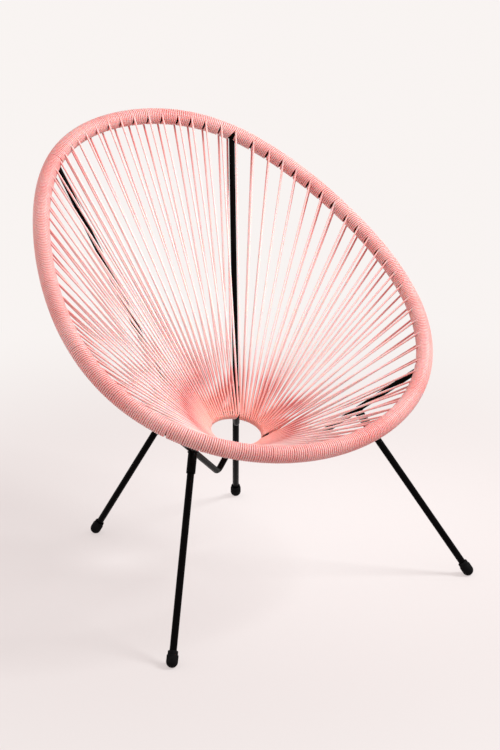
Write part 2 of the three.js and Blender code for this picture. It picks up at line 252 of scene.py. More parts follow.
for arm in arms:
    sine, cosine = math.sin(arm["angle"]), math.cos(arm["angle"])
    corner = Vector((
        arm["bendReach"] * sine,
        -ringValues["forward"] - arm["bendReach"] * cosine,
        arm["bendHeight"],
    ))
    rimEnd = rimPoint(arm["station"])
    ringEnd = ringPoint(arm["ringAngle"])
    toRim = directionFrom(corner, rimEnd)
    toRing = directionFrom(corner, ringEnd)
    halfAngle = toRim.angle(toRing) / 2
    arm["rimEnd"], arm["ringEnd"] = rimEnd, ringEnd
    arm["toRim"], arm["toRing"] = toRim, toRing
    fromCorner = armValues["bendRadius"] / math.sin(halfAngle)
    arm["bendCentre"] = corner + (toRim + toRing).normalized() * fromCorner
    arm["bendStart"] = corner + toRim * (armValues["bendRadius"] / math.tan(halfAngle))
    arm["bendAxle"] = toRim.cross(toRing).normalized()
    arm["bendTurn"] = math.pi - 2 * halfAngle
    bendReach = reachOf(arm["bendStart"])
    share = (arm["legReach"] - bendReach) / (reachOf(rimEnd) - bendReach)
    arm["legTop"] = mixed(arm["bendStart"], rimEnd, share)
    arm["legWay"] = directionFrom(arm["foot"], arm["legTop"])
    arm["legLength"] = (arm["legTop"] - arm["foot"]).length

print("measured the frame")


# Materials

class Wire:  # a socket of a material, so that a sum on it adds its Math node
    def __init__(self, finish, socket):
        self.finish = finish
        self.socket = socket

    def maths(self, operation, *values):
        return self.finish.node("ShaderNodeMath", {"operation": operation}, dict(enumerate(values)))

    def __add__(self, other):
        return self.maths("ADD", self, other)

    def __radd__(self, other):
        return self.maths("ADD", other, self)

    def __sub__(self, other):
        return self.maths("SUBTRACT", self, other)

    def __rsub__(self, other):
        return self.maths("SUBTRACT", other, self)

    def __mul__(self, other):
        return self.maths("MULTIPLY", self, other)

    def __rmul__(self, other):
        return self.maths("MULTIPLY", other, self)

    def __abs__(self):
        return self.maths("ABSOLUTE", self)


class Finish:  # a material, or the world, and the nodes that it is made of
    def __init__(self, name, world=None):
        self.owner = world or bpy.data.materials.new(name)
        self.owner.use_nodes = True
        self.tree = self.owner.node_tree
        self.tree.nodes.clear()

    def node(self, kind, settings, sockets, output=0):
        made = self.tree.nodes.new(kind)
        for name, value in settings.items():
            setattr(made, name, value)
        for name, value in sockets.items():
            if isinstance(value, Wire):
                self.tree.links.new(value.socket, made.inputs[name])
            else:
                made.inputs[name].default_value = value
        return Wire(self, made.outputs[output]) if len(made.outputs) else None

    def place(self, scale):  # a point of the piece, in metres times a scale
        point = self.node("ShaderNodeTexCoord", {}, {}, "Object")
        return self.node("ShaderNodeMapping", {}, {"Vector": point, "Scale": (scale, scale, scale)})

    def cloud(self, vector, detail, roughness=0.5):  # soft noise from 0 to 1
        sockets = {"Vector": vector, "Scale": 1.0, "Detail": detail, "Roughness": roughness}
        return self.node("ShaderNodeTexNoise", {}, sockets)

    def spread(self, value, low, high):  # stretches low..high to 0..1
        sockets = {"Value": value, "From Min": low, "From Max": high}
        return self.node("ShaderNodeMapRange", {"interpolation_type": "SMOOTHSTEP"}, sockets)

    def blended(self, share, first, second):
        return self.node("ShaderNodeMix", {"data_type": "RGBA"}, {0: share, 6: first, 7: second}, 2)

    def bump(self, height, distance, strength):
        sockets = {"Height": height, "Distance": distance, "Strength": strength}
        return self.node("ShaderNodeBump", {}, sockets)

    def seen(self):  # 1 for what the camera sees, straight or in something glossy or clear
        rays = ("Is Camera Ray", "Is Glossy Ray", "Is Transmission Ray")
        camera, glossy, clear = (self.node("ShaderNodeLightPath", {}, {}, ray) for ray in rays)
        return camera + glossy + clear

    def shaded(self, sockets):
        shader = self.node("ShaderNodeBsdfPrincipled", {}, sockets)
        self.node("ShaderNodeOutputMaterial", {}, {"Surface": shader})
        return self.owner


cordLook = {
    "lit": (0.79, 0.450, 0.430, 1),  # the outer side of the winding
    "deep": (0.66, 0.120, 0.110, 1),  # a darker pink for random tone, and the painted shade down between its turns
    "paintedGlow": (0.98, 0.480, 0.420, 1),  # the painted glow of strands that lie side by side at the ring
    "pale": (0.93, 0.720, 0.700, 1),  # free strands, painted paler as if lit all round
    "toneScale": 9.0,
    "toneDepth": 0.3,  # how much of the deep colour it brings, and so on for the others
    "speckScale": 420.0,
    "speckDepth": 0.1,
    "flank": (0.27, 0.46),  # shares of a turn from the inner side, where it ends and the outer begins
    # painted shade on the flanks of the wound turns
    "paintedGrooveShade": 0.6,
    # how much painted light the free strands' sides keep; the rest is painted shade
    "paintedSideLight": 0.75,
    "gloss": 0.36,
    "unevenGloss": 0.12,
    "glow": 0.6,
    "glowColour": (1.0, 0.35, 0.25),
    "glowReach": 0.004,
    "drawLines": 0.25,
    "drawLineScale": (14.0, 26.0, 1.0),
    "drawLineDepth": 0.0003,
    "refraction": 1.5,
}


def cordFinish():
    finish = Finish("pinkCord")
    tones = finish.cloud(finish.place(cordLook["toneScale"]), detail=3.0)
    tone = finish.spread(tones, low=0.35, high=0.7)
    specks = finish.cloud(finish.place(cordLook["speckScale"]), detail=2.0)
    speck = finish.spread(specks, low=0.45, high=0.75)
    alongCord = finish.node("ShaderNodeUVMap", {"uv_map": "cord"}, {})
    lineSockets = {"Vector": alongCord, "Scale": cordLook["drawLineScale"]}
    lines = finish.cloud(finish.node("ShaderNodeMapping", {}, lineSockets), detail=2.0)
    around = finish.node("ShaderNodeSeparateXYZ", {}, {0: alongCord}, 1)
    # ridge is 1 on a turn's outer side and 0 on its flanks, where the painted shade of the grooves and
    # of the strands' sides falls
    ridge = finish.spread(abs(around - 0.5), *cordLook["flank"])  # 1 on the outer side, 0 on the flanks
    pale = finish.node("ShaderNodeAttribute", {"attribute_name": "pale"}, {}, "Fac")
    wound = 1 - abs(pale)
    depth = tone * cordLook["toneDepth"] + speck * cordLook["speckDepth"]
    # painted shade down in the grooves between the wound turns
    depth = depth + (1 - ridge) * wound * cordLook["paintedGrooveShade"]
    # painted glow where the strands lie close at the ring
    lit = finish.blended(finish.spread(0 - pale, 0.0, 1.0), cordLook["lit"], cordLook["paintedGlow"])
    pink = finish.blended(depth, lit, cordLook["deep"])
    # free strands take the paler colour of painted light, with less of it on their sides, which is
    # painted shade
    paintedSideLight = cordLook["paintedSideLight"]
    free = finish.spread(pale, 0.0, 1.0) * (paintedSideLight + ridge * (1 - paintedSideLight))
    return finish.shaded({
        "Base Color": finish.blended(free, pink, cordLook["pale"]),
        "Roughness": cordLook["gloss"] + speck * cordLook["unevenGloss"],
        "Normal": finish.bump(lines, cordLook["drawLineDepth"], cordLook["drawLines"]),
        "Subsurface Weight": cordLook["glow"],
        "Subsurface Radius": cordLook["glowColour"],
        "Subsurface Scale": cordLook["glowReach"],
        "IOR": cordLook["refraction"],
    })


steelLook = {
    "paint": (0.0014, 0.0010, 0.0011, 1),
    "worn": (0.005, 0.004, 0.004, 1),
    "wear": 0.5,
    "patchScale": 30.0,
    "gloss": 0.27,
    "unevenGloss": 0.16,
    "shine": 0.03,
    "grain": 0.12,
    "grainScale": 900.0,
    "grainDepth": 0.0002,
}


def steelFinish():
    finish = Finish("blackPaint")
    clouds = finish.cloud(finish.place(steelLook["patchScale"]), detail=4.0, roughness=0.6)
    patches = finish.spread(clouds, low=0.5, high=0.8)
    grain = finish.cloud(finish.place(steelLook["grainScale"]), detail=2.0)
    worn = patches * steelLook["wear"]
    return finish.shaded({
        "Base Color": finish.blended(worn, steelLook["paint"], steelLook["worn"]),
        "Roughness": steelLook["gloss"] + patches * steelLook["unevenGloss"],
        "Normal": finish.bump(grain, steelLook["grainDepth"], steelLook["grain"]),
        "Specular IOR Level": steelLook["shine"],
    })


rubberLook = {
    "black": (0.004, 0.0037, 0.004, 1),
    "dusty": (0.013, 0.012, 0.012, 1),
    "dustScale": 60.0,
    "gloss": 0.62,
    "unevenGloss": 0.2,
    "shine": 0.04,
    "grain": 0.3,
    "grainScale": 1500.0,
    "grainDepth": 0.0002,
}


def rubberFinish():
    finish = Finish("blackRubber")
    clouds = finish.cloud(finish.place(rubberLook["dustScale"]), detail=4.0, roughness=0.65)
    dust = finish.spread(clouds, low=0.48, high=0.78)
    grain = finish.cloud(finish.place(rubberLook["grainScale"]), detail=2.0)
    return finish.shaded({
        "Base Color": finish.blended(dust, rubberLook["black"], rubberLook["dusty"]),
        "Roughness": rubberLook["gloss"] + dust * rubberLook["unevenGloss"],
        "Normal": finish.bump(grain, rubberLook["grainDepth"], rubberLook["grain"]),
        "Specular IOR Level": rubberLook["shine"],
    })


pinkCord = cordFinish()
blackPaint = steelFinish()
blackRubber = rubberFinish()
print("mixed the materials")


# Modelling helpers

def selectOnly(piece):
    bpy.ops.object.select_all(action="DESELECT")
    piece.select_set(True)
    bpy.context.view_layer.objects.active = piece


def editOnly(piece):
    selectOnly(piece)
    bpy.ops.object.mode_set(mode="EDIT")


def pickFaces(piece, wanted):
    bpy.ops.mesh.select_mode(type="FACE")
    bpy.ops.mesh.select_all(action="DESELECT")
    shape = bmesh.from_edit_mesh(piece.data)
    for face in shape.faces:
        face.select_set(wanted(face.calc_center_median(), face.normal))
    bmesh.update_edit_mesh(piece.data)


def newPiece(name):  # the primitive that was just added
    piece = bpy.context.object
    piece.name = name
    piece.data.name = name
    return piece


def linked(name, data):  # a new object that holds a mesh, a curve or a camera
    made = bpy.data.objects.new(name, data)
    bpy.context.scene.collection.objects.link(made)
    return made


def applyPlace(piece):
    selectOnly(piece)
    bpy.ops.object.transform_apply(location=True, rotation=True, scale=True)


def aimAlong(piece, origin, way):  # lays a piece that is drawn along +Z along way from origin
    piece.matrix_world = Matrix.Translation(origin) @ up.rotation_difference(way).to_matrix().to_4x4()
    applyPlace(piece)


def finished(piece, material, nodes=(), sharp=None):
    selectOnly(piece)
    if sharp is None:
        bpy.ops.object.shade_smooth()
    else:
        bpy.ops.object.shade_smooth_by_angle(angle=math.radians(sharp))
    piece.data.materials.clear()
    piece.data.materials.append(material)
    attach(piece, "root")
    if nodes:
        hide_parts(*nodes)
    return piece


def tubeMesh(name, runs, radius, sides):
    # each closed run is a list of points, each with the way that faces outwards and how pale it is,
    # which is how much painted light or painted glow its colour takes
    points, faces, lengths, pales = [], [], [], []
    for run in runs:
        first = len(points)
        count = len(run)
        travelled = 0.0
        for i, (point, away, pale) in enumerate(run):
            before, after = run[i - 1][0], run[(i + 1) % count][0]
            pales += [pale] * sides
            if i:
                travelled += (point - before).length
            tangent = (after - before).normalized()
            outer = (away - tangent * away.dot(tangent)).normalized()
            side = tangent.cross(outer)
            for k in range(sides):
                turn = 2 * math.pi * k / sides
                out, across = radius * math.cos(turn), radius * math.sin(turn)
                points.append(point + outer * out + side * across)
            lengths.append(travelled)
        for i in range(count):
            here, there = first + i * sides, first + (i + 1) % count * sides
            for k in range(sides):
                beside = (k + 1) % sides
                faces.append((here + k, here + beside, there + beside, there + k))
    mesh = bpy.data.meshes.new(name)
    mesh.from_pydata(points, [], faces)
    mesh.attributes.new("pale", "FLOAT", "POINT").data.foreach_set("value", pales)
    unwrapped = mesh.uv_layers.new(name="cord")
    for face in mesh.polygons:
        corners = [mesh.loops[j].vertex_index for j in face.loop_indices]
        turned = [c % sides for c in corners]
        wraps = max(turned) == sides - 1 and min(turned) == 0
        for j, c, t in zip(face.loop_indices, corners, turned):
            around = 1.0 if wraps and t == 0 else t / sides
            unwrapped.data[j].uv = (lengths[c // sides], around)
    mesh.update()
    return linked(name, mesh)


# Cord: each bay between two stations is one run of cord, up behind from the seat ring, round and
# round the rim, and down in front to the ring again.

# Where the stations lie between two arms, as wound by hand
stationShares = {
    "right": (
        0.0554, 0.1056, 0.1542, 0.1983, 0.2392, 0.2900, 0.3369, 0.3838, 0.4274, 0.4785,
        0.5254, 0.5737, 0.6316, 0.6799, 0.7299, 0.7849, 0.8341, 0.8842, 0.9395,
    ),
    "back": (
        0.0703, 0.1459, 0.2130, 0.2746, 0.3524, 0.4195, 0.4930, 0.5639, 0.6303, 0.7016,
        0.7686, 0.8281, 0.8815, 0.9449,
    ),
    "left": (
        0.0389, 0.0709, 0.1085, 0.1460, 0.1906, 0.2239, 0.2657, 0.3172, 0.3686, 0.4160, 0.4591,
        0.5050, 0.5495, 0.5843, 0.6330, 0.6775, 0.7248, 0.7582, 0.8028, 0.8431, 0.8918, 0.9461,
    ),
}

# How pale the cord is painted at so many metres of strand from the rim or the ring, whichever is less:
# 1 where it is painted as lit all round, 0 in the winding and where the rear strands are painted in the
# rim's shade, and -1 for the painted glow where the strands lie close
paintedLightFrom = {
    "front": ((0.0, 0.1), (0.03, 0.4), (0.10, 0.65), (0.30, 0.95)),
    "rear": ((0.0, 0.0), (0.03, 0.1), (0.12, 0.60), (0.30, 0.95)),
    "ring": ((0.0, -1.0), (0.05, -0.5), (0.10, 0.45), (0.16, 0.9), (0.25, 1.0)),
}

random.seed(cordValues["seed"])

coil = rimValues["tubeRadius"] + cordValues["radius"]  # from the rim's middle to the cord's
hook = ringValues["rodRadius"] + cordValues["radius"]
armClear = armValues["radius"] + armValues["roomForCord"] + cordValues["radius"]
armHalfGap = armClear / (ringRadius + ringValues["rodRadius"])


def uneven(most):
    return random.uniform(-most, most)


def makeStretch(name, before, after, laps):
    # the cord between two arms, given as their places in the list, and whether each is a lap back
    first, last = arms[before], arms[after]
    bays = cordValues["bays"][name]
    rimStart = first["station"] - (rimLength if laps[0] else 0)
    rimEnd = last["station"] - (rimLength if laps[1] else 0)
    start, end = rimStart + first["beside"], rimEnd + last["beside"]
    if name in stationShares:
        stations = [mixed(start, end, share) for share in (0, *stationShares[name], 1)]
    else:
        stations = [mixed(start, end, i / bays) for i in range(bays + 1)]
        for i in range(1, bays):
            stations[i] += uneven(cordValues["unevenStation"])
    ringStart = first["ringAngle"] % (2 * math.pi) if not laps[0] else first["ringAngle"]
    ringEnd = last["ringAngle"] % (2 * math.pi)
    lead = {  # how far from the arms' ends the front strands start to hook on to the ring
        "front": (armHalfGap, armHalfGap),
        "right": (armHalfGap, cordValues["ringLead"]),
        "back": (-cordValues["ringLead"], -cordValues["ringLead"]),
        "left": (cordValues["ringLead"], armHalfGap),
    }[name]
    return {
        "name": name, "bays": bays, "stations": stations,
        "frontRing": (ringStart + lead[0], ringEnd - lead[1]),
        "rearRing": (ringStart + armHalfGap, ringEnd - armHalfGap),
        "rim": (rimStart, rimEnd), "ring": (ringStart, ringEnd),
        "pushRear": max(armClear - first["beside"] - cordValues["pitch"] / 4, 0.0),
        "pushAfter": max(armClear - first["beside"] - cordValues["pitch"], 0.0),
        "pushBefore": max(armClear + last["beside"] - cordValues["pitch"], 0.0),
    }


stretches = [
    makeStretch("front", 3, 0, (True, False)),
    makeStretch("right", 0, 1, (False, False)),
    makeStretch("back", 1, 2, (False, False)),
    makeStretch("left", 2, 3, (False, False)),
]


def rimSection(stretch, distance):
    centre = rimPoint(distance)
    along = rimTangent(distance)
    share = (distance - stretch["rim"][0]) / (stretch["rim"][1] - stretch["rim"][0])
    target = ringPoint(mixed(*stretch["ring"], share))
    inward = directionFrom(centre, target, along)
    return centre, inward, along.cross(inward)


def notch(phi):  # how much of an arm's push reaches this angle round the rim
    away = (phi - cordValues["notchMiddle"] + math.pi) % (2 * math.pi) - math.pi
    return max(1 - abs(away) / cordValues["notchReach"], 0.0)


def stepped(steps, distance):
    for (here, first), (there, last) in zip(steps, steps[1:]):
        if distance <= there:
            return mixed(first, last, (distance - here) / (there - here))
    return steps[-1][1]


def strand(atRim, atRing, kind, away):  # the free points from the rim to the ring
    length = (atRing - atRim).length
    nearRim = {place for place, _ in paintedLightFrom[kind][1:]}
    nearRing = {length - place for place, _ in paintedLightFrom["ring"][1:]}
    places = sorted(nearRim | nearRing)
    points = []
    for place in places:
        if cordValues["strandEnd"] < place < length - cordValues["strandEnd"]:
            # painted light along the strand, and painted glow near the ring
            pale = min(stepped(paintedLightFrom[kind], place), stepped(paintedLightFrom["ring"], length - place))
            points.append((mixed(atRim, atRing, place / length), away, pale))
    return points


def bayRun(stretch, bay):  # the cord of one bay, as a run for tubeMesh
    first, last = stretch["stations"][bay], stretch["stations"][bay + 1]
    turns = round((last - first) / cordValues["pitch"]) - 1
    pitch = (last - first) / (turns + 1)
    slip = uneven(cordValues["unevenRing"]) / ringRadius
    share = (bay + 0.5) / stretch["bays"]
    frontAngle = mixed(*stretch["frontRing"], share) + slip
    rearAngle = mixed(*stretch["rearRing"], share) + slip
    armBefore, armAfter = bay == 0, bay + 1 == stretch["bays"]

    def leaving(distance, angle, side):  # where a strand leaves the rim, 1 above and -1 below
        centre, inward, face = rimSection(stretch, distance)
        reach = ringPoint(angle) + ringUp * (side * hook) - centre
        across, over = reach.dot(inward), reach.dot(face)
        return math.atan2(over, across) + side * math.acos(coil / math.hypot(across, over))

    start = leaving(first, rearAngle, -1)
    end = leaving(last, frontAngle, 1) - 2 * math.pi * (turns + 1)
    steps = round((start - end) / (2 * math.pi) * cordValues["stepsPerTurn"])
    shiftStart, shiftEnd = uneven(cordValues["unevenRim"]), uneven(cordValues["unevenRim"])
    wobble = [uneven(cordValues["unevenTurn"]) for _ in range(turns + 3)]
    run = []
    for i in range(steps + 1):
        share = i / steps
        phi = mixed(start, end, share)
        turned = (start - phi) / (2 * math.pi)
        left = (steps - i) / cordValues["stepsPerTurn"]
        distance = first + pitch * (0.25 + turned)
        if armBefore:  # the rear strand leaves within the first quarter of a turn
            pushed = max(stretch["pushAfter"] * notch(phi), stretch["pushRear"] * (1 - 4 * turned))
            distance += pushed * (last - distance) / (last - first)
        if armAfter:
            distance -= stretch["pushBefore"] * notch(phi) * (distance - first) / (last - first)
        distance += shiftStart * max(1 - turned, 0) + shiftEnd * max(1 - left, 0)
        sway = mixed(wobble[int(turned)], wobble[int(turned) + 1], turned % 1)
        distance += sway * math.sin(math.pi * share)
        centre, inward, face = rimSection(stretch, distance)
        away = inward * math.cos(phi) + face * math.sin(phi)
        # the last quarter turn before the front strand leaves takes some of its painted light
        run.append((centre + away * coil, away, paintedLightFrom["front"][0][1] * max(1 - 4 * left, 0)))

    hookFront, hookRear = ringPoint(frontAngle), ringPoint(rearAngle)
    rimInFront, rimBehind = run[-1][0], run[0][0]
    middle = (frontAngle + rearAngle) / 2
    roundRing = roundRingAt(middle)
    outward = directionFrom(ringPoint(middle), mixed(rimInFront, rimBehind, 0.5), roundRing)
    ringFace = outward.cross(roundRing)
    run += strand(rimInFront, hookFront + ringFace * hook, "front", ringFace)
    for i in range(cordValues["hookSteps"] + 1):
        share = i / cordValues["hookSteps"]
        away = ringFace * math.cos(math.pi * share) - outward * math.sin(math.pi * share)
        onRing = ringPoint(mixed(frontAngle, rearAngle, share))
        # round the ring the hook takes the painted glow
        run.append((onRing + away * hook, away, paintedLightFrom["ring"][0][1]))
    run += reversed(strand(rimBehind, hookRear - ringFace * hook, "rear", -ringFace))
    return run


for stretch in stretches:
    perPiece = math.ceil(stretch["bays"] / cordValues["pieces"][stretch["name"]])
    for first in range(0, stretch["bays"], perPiece):
        number = first // perPiece + 1
        last = min(first + perPiece, stretch["bays"])
        runs = [bayRun(stretch, bay) for bay in range(first, last)]
        name = f"cord{stretch['name'].title()}{number}"
        piece = tubeMesh(name, runs, cordValues["radius"], cordValues["sides"])
        finished(piece, pinkCord, [f"cord_{stretch['name']}_{number}"])
print("strung the cord")


# Rim tube and seat ring

def makeRimTube():
    samples = rimValues["tubeSamples"]
    path = bpy.data.curves.new("rimTube", "CURVE")
    path.dimensions = "3D"
    path.bevel_depth = rimValues["tubeRadius"]
    path.bevel_resolution = rimValues["tubeRounding"]
    spline = path.splines.new("POLY")
    spline.points.add(samples - 1)
    spline.use_cyclic_u = True
    for i, point in enumerate(spline.points):
        point.co = (*rimPoint(rimLength * i / samples), 1)
    selectOnly(linked("rimTube", path))
    bpy.ops.object.convert(target="MESH")
    return bpy.context.object


finished(makeRimTube(), blackPaint, ["rim_tube"])

bpy.ops.object.select_all(action="DESELECT")
bpy.ops.mesh.primitive_torus_add(
    location=ringCentre, rotation=(ringValues["tilt"], 0, 0),
    major_radius=ringRadius, minor_radius=ringValues["rodRadius"],
    major_segments=ringValues["segments"], minor_segments=ringValues["sides"],
)
seatRing = newPiece("seatRing")
editOnly(seatRing)
pickFaces(seatRing, lambda centre, normal: centre.y > 0 and abs(centre.x) < ringValues["weldHalfWidth"])
bpy.ops.transform.shrink_fatten(value=ringValues["weldHeight"])  # the butt weld that closes the ring
bpy.ops.object.mode_set(mode="OBJECT")
applyPlace(seatRing)
finished(seatRing, blackPaint, ["seat_ring"])
print("made the rim and the ring")


# Arms, with their welds

def makeArm(arm):
    start = arm["rimEnd"] - arm["toRim"] * (rimValues["tubeRadius"] * armValues["intoRim"])
    bpy.ops.object.select_all(action="DESELECT")
    bpy.ops.mesh.primitive_circle_add(vertices=armValues["sides"], radius=armValues["radius"])
    piece = newPiece("arm" + arm["name"])
    aimAlong(piece, start, -arm["toRim"])
    editOnly(piece)
    bpy.ops.mesh.select_mode(type="EDGE")
    bpy.ops.mesh.select_all(action="SELECT")
    bpy.ops.mesh.extrude_region_move(
        TRANSFORM_OT_translate={"value": arm["bendStart"] - start, "orient_type": "GLOBAL"}
    )
    bpy.ops.mesh.spin(
        steps=armValues["bendSteps"], angle=arm["bendTurn"], center=arm["bendCentre"],
        axis=arm["bendAxle"],
    )
    shape = bmesh.from_edit_mesh(piece.data)
    picked = [vertex.co for vertex in shape.verts if vertex.select]
    reached = sum(picked, Vector()) / len(picked)
    bpy.ops.mesh.extrude_region_move(
        TRANSFORM_OT_translate={"value": arm["ringEnd"] - reached, "orient_type": "GLOBAL"}
    )
    bpy.ops.mesh.select_all(action="SELECT")
    bpy.ops.mesh.fill_holes(sides=0)
    bpy.ops.mesh.select_all(action="SELECT")
    bpy.ops.mesh.normals_make_consistent(inside=False)
    bpy.ops.object.mode_set(mode="OBJECT")
    return piece


weldValues = {
    "radius": 0.0014,
    "steps": 64,
    "ripples": 17,
    "rippleDepth": 0.0002,
    "sides": 8,
    "rodFit": 0.98,  # of a rod's radius, where the ring's rod is as thick as the arm's
}


def weldBead(name, points, centre):  # a closed run of rippled bead
    run = []
    for i, point in enumerate(points):
        wave = math.sin(2 * math.pi * weldValues["ripples"] * i / len(points))
        away = (point - centre).normalized()
        run.append((point + away * (weldValues["rippleDepth"] * wave), away, 0))
    return tubeMesh(name, [run], weldValues["radius"], weldValues["sides"])


def crossingRun(base, way, radius, otherWay, otherRadius):
    # where a rod along way from base comes out of another rod whose middle line passes through base
    u = way.orthogonal().normalized()
    v = way.cross(u)
    points = []
    for i in range(weldValues["steps"]):
        turn = 2 * math.pi * i / weldValues["steps"]
        start = base + (u * math.cos(turn) + v * math.sin(turn)) * radius
        # (start + way * t) lies otherRadius from the other rod's middle line
        gap = start - base
        gap = gap - otherWay * gap.dot(otherWay)
        step = way - otherWay * way.dot(otherWay)
        a, b, c = step.dot(step), 2 * gap.dot(step), gap.dot(gap) - otherRadius ** 2
        root = math.sqrt(max(b * b - 4 * a * c, 0.0))
        points.append(start + way * ((-b + root) / (2 * a)))
    return points


def finishWeld(name, points, centre):
    finished(weldBead(name, points, centre), blackPaint)


for arm in arms:
    nodes = [f"arm_{arm['node']}"]
    finished(makeArm(arm), blackPaint, nodes, armValues["sharpFrom"])
    points = crossingRun(
        arm["rimEnd"], -arm["toRim"], armValues["radius"],
        rimTangent(arm["station"]), rimValues["tubeRadius"],
    )
    finishWeld("weldRim" + arm["name"], points, sum(points, Vector()) / len(points))
    points = crossingRun(
        arm["ringEnd"], -arm["toRing"], armValues["radius"] * weldValues["rodFit"],
        roundRingAt(arm["ringAngle"]), ringValues["rodRadius"],
    )
    finishWeld("weldRing" + arm["name"], points, sum(points, Vector()) / len(points))
print("bent the arms")


# Legs in their sleeves

def makeSleeve(arm):
    length = legValues["sleeveLength"]
    wall = legValues["sleeveRadius"] - legValues["radius"] - legValues["room"]
    bpy.ops.object.select_all(action="DESELECT")
    bpy.ops.mesh.primitive_cylinder_add(
        vertices=legValues["sides"], radius=legValues["sleeveRadius"], depth=length,
        location=(0, 0, -length / 2), end_fill_type="NOTHING",
    )
    piece = newPiece("legSleeve" + arm["name"])
    applyPlace(piece)
    wallMaker = piece.modifiers.new("wall", "SOLIDIFY")
    wallMaker.thickness = wall
    wallMaker.offset = -1
    edge = piece.modifiers.new("edge", "BEVEL")
    edge.width = legValues["sleeveEdge"]
    edge.segments = legValues["edgeSegments"]
    for modifier in ("wall", "edge"):
        bpy.ops.object.modifier_apply(modifier=modifier)
    aimAlong(piece, arm["legTop"] - arm["legWay"] * legValues["sleeveStart"], arm["legWay"])
    return piece


def makeLeg(arm, low):
    sleeveEnd = legValues["sleeveStart"] + legValues["sleeveLength"]
    high = arm["legLength"] - sleeveEnd + legValues["plugDepth"]
    bpy.ops.object.select_all(action="DESELECT")
    bpy.ops.mesh.primitive_cylinder_add(
        vertices=legValues["sides"], radius=legValues["radius"], depth=high - low,
        location=(0, 0, (high + low) / 2),
    )
    piece = newPiece("leg" + arm["name"])
    applyPlace(piece)
    editOnly(piece)
    pickFaces(piece, lambda centre, normal: abs(normal.z) > 0.9)
    bpy.ops.mesh.bevel(offset=legValues["edge"], segments=legValues["edgeSegments"], affect="EDGES")
    bpy.ops.object.mode_set(mode="OBJECT")
    aimAlong(piece, arm["foot"], arm["legWay"])
    return piece


capValues = {
    "radius": 0.0109,
    "collarRadius": 0.0095,
    "length": 0.031,
    "collarLength": 0.008,
    "lip": 0.0012,
    "flat": 0.001,
    "floor": 0.008,
    "sides": 40,
    "domeSteps": 8,
    "sharpFrom": 40,
}


def makeCap(arm, base):
    # drawn along +Z from the centre of its round end, then set on the foot
    collar, outer, lip = capValues["collarRadius"], capValues["radius"], capValues["lip"]
    bore = legValues["radius"] + legValues["room"]
    top = capValues["length"] - outer
    profile = []
    for i in range(capValues["domeSteps"] + 1):
        turn = math.pi / 2 * i / capValues["domeSteps"]
        profile.append((outer * math.sin(turn), -outer * math.cos(turn)))
    shoulder = top - capValues["collarLength"]
    profile += [
        (outer, shoulder - lip * 0.4), (outer - lip * 0.25, shoulder),  # shoulder
        (collar, shoulder + lip * 0.6), (collar, top - lip),  # collar
        (collar - lip * 0.3, top - lip * 0.3), (collar - lip, top), (bore, top),  # lip
        (bore, capValues["floor"] - outer), (0, capValues["floor"] - outer),  # bore
    ]
    mesh = bpy.data.meshes.new("footCap" + arm["name"])
    edges = [(i, i + 1) for i in range(len(profile) - 1)]
    mesh.from_pydata([(x, 0, z) for x, z in profile], edges, [])
    piece = linked("footCap" + arm["name"], mesh)
    editOnly(piece)
    bpy.ops.mesh.select_all(action="SELECT")
    bpy.ops.mesh.spin(
        steps=capValues["sides"], angle=2 * math.pi, center=(0, 0, 0), axis=(0, 0, 1),
    )
    bpy.ops.mesh.select_all(action="SELECT")
    bpy.ops.mesh.remove_doubles(threshold=0.00001)
    bpy.ops.mesh.normals_make_consistent(inside=False)
    bpy.ops.object.mode_set(mode="OBJECT")
    aimAlong(piece, arm["foot"] + arm["legWay"] * base, arm["legWay"])
    editOnly(piece)
    bpy.ops.mesh.select_all(action="SELECT")
    bpy.ops.mesh.bisect(plane_co=(0, 0, 0), plane_no=(0, 0, 1), clear_inner=True, use_fill=True)
    bpy.ops.object.mode_set(mode="OBJECT")
    return piece


def sleeveRun(arm):  # round the sleeve's end, under the arm and along its sides
    way, across = arm["legWay"], arm["toRim"]
    u = (across - way * across.dot(way)).normalized()
    v = way.cross(u)
    slant = across.cross(way).length
    points = []
    for i in range(weldValues["steps"]):
        turn = 2 * math.pi * i / weldValues["steps"]
        x, y = legValues["sleeveRadius"] * math.cos(turn), legValues["sleeveRadius"] * math.sin(turn)
        drop = math.sqrt(max(armValues["radius"] ** 2 - y * y, 0.0)) / slant
        height = -legValues["sleeveStart"]
        if drop:
            height = min(height, x * across.dot(way) / slant - drop)
        points.append(arm["legTop"] + u * x + v * y + way * height)
    return points


for arm in arms:
    base = (capValues["radius"] - capValues["flat"]) / arm["legWay"].z  # to a cap's round end
    low = base - capValues["radius"] + capValues["floor"] + legValues["room"]
    node, sharp = arm["node"], legValues["sharpFrom"]
    finished(makeSleeve(arm), blackPaint, [f"leg_sleeve_{node}"], sharp)
    finished(makeLeg(arm, low), blackPaint, [f"leg_{node}"], sharp)
    sharp = capValues["sharpFrom"]
    finished(makeCap(arm, base), blackRubber, [f"foot_cap_{node}"], sharp)
    finishWeld("weldSleeve" + arm["name"], sleeveRun(arm), arm["legTop"])
print("plugged in the legs")


# Floor, light and camera

studioValues = {
    "floorSize": 30.0,
    "floorColour": (0.250, 0.238, 0.236, 1),
    "floorRoughness": 0.9,
    "floorShine": 0.1,
    "floorFill": (0.518, 0.466, 0.457, 1),  # what the bright room adds, so that shadows stay faint
    "paintedPoolLight": (0.628, 0.576, 0.567, 1),  # the same, brighter in a painted pool of light round the chair
    "hiddenFill": (0.15, 0.13, 0.13, 1),  # as much of it as lights the chair from below
    "poolMiddle": (0.165, 0.074, 0),
    "poolReach": 0.8,
    "farColour": (0.945, 0.904, 0.886, 1),
    "fadeFrom": 0.5,  # metres from the middle, where the floor starts to turn into the backdrop
    "fadeTo": 1.6,
    "world": (0.90, 0.850, 0.840, 1),
    "worldStrength": 1.0,
    "keyEnergy": 95.0,
    "keySize": 1.0,
    "keyWay": Vector((0.56, -0.40, 0.72)),
    "keyDistance": 3.2,
    "keyAim": Vector((0, 0, 0.4)),
    "keyColour": (0.97, 1.0, 1.0),
}


